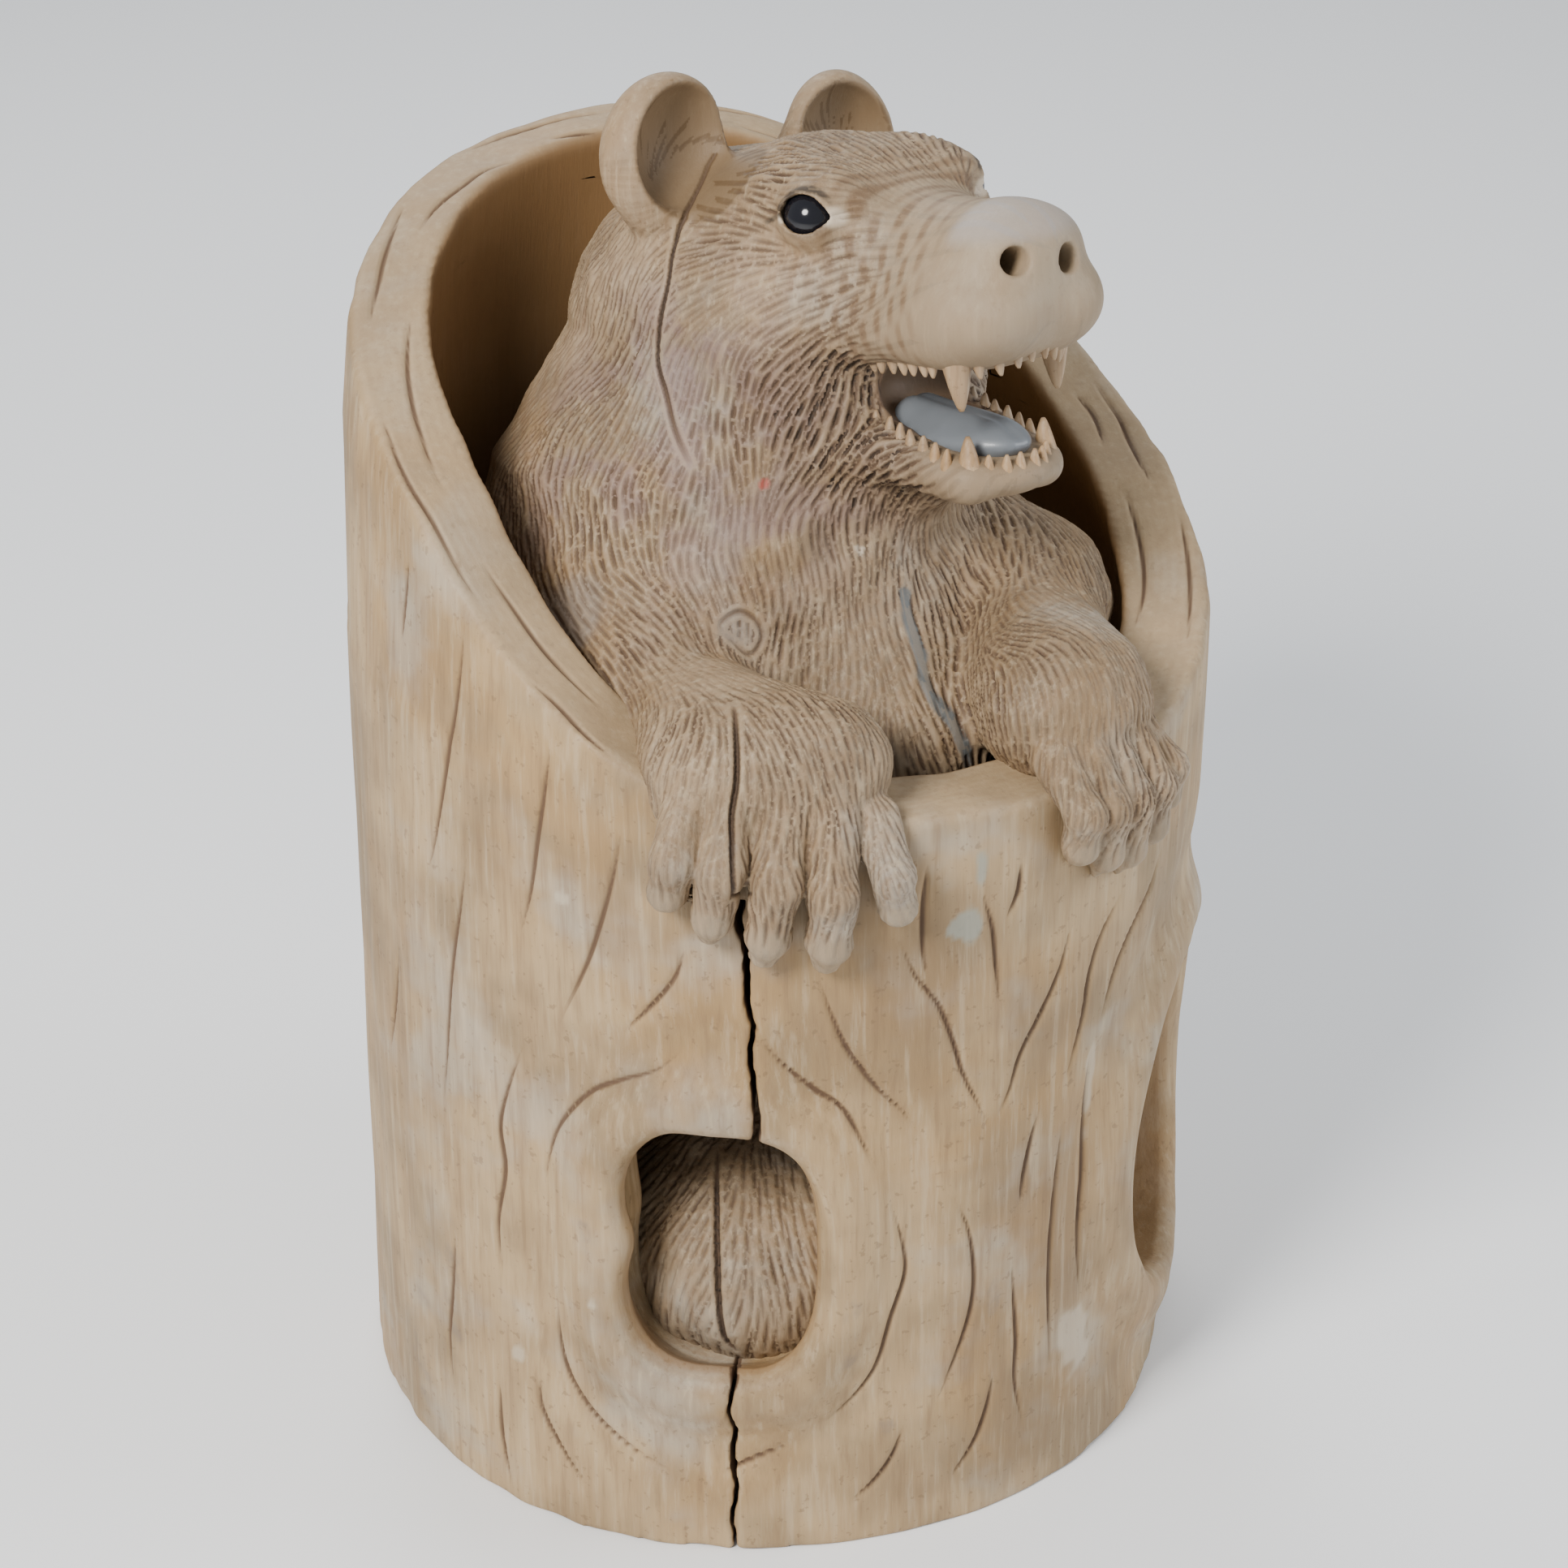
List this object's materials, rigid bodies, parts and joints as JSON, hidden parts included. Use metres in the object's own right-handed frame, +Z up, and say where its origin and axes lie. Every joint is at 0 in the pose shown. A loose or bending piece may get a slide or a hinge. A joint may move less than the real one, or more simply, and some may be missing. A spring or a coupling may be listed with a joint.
{
  "type": "carved wooden bear in a hollow trunk",
  "caption": "Wooden statue: a bear with an open mouth leans out of a hollow tree trunk, paws over the cut front edge, knot holes below.",
  "frame": {"origin": "centre of the trunk's flat foot, on the surface that it stands on", "axes": "+Z up along the trunk, -Y to the low front edge where the paws hang over, +X to the bear's left"},
  "size_m": [0.3447, 0.3629, 0.5562],
  "materials": {
    "carved_wood": "bare carved softwood, tan, dry and weathered, darker in the tool cuts",
    "eye_bead": "glossy black bead"
  },
  "bodies": {
    "root": {"carved_bear_in_trunk": "carved_wood", "right_eye": "eye_bead", "left_eye": "eye_bead"}
  },
  "joints": []
}
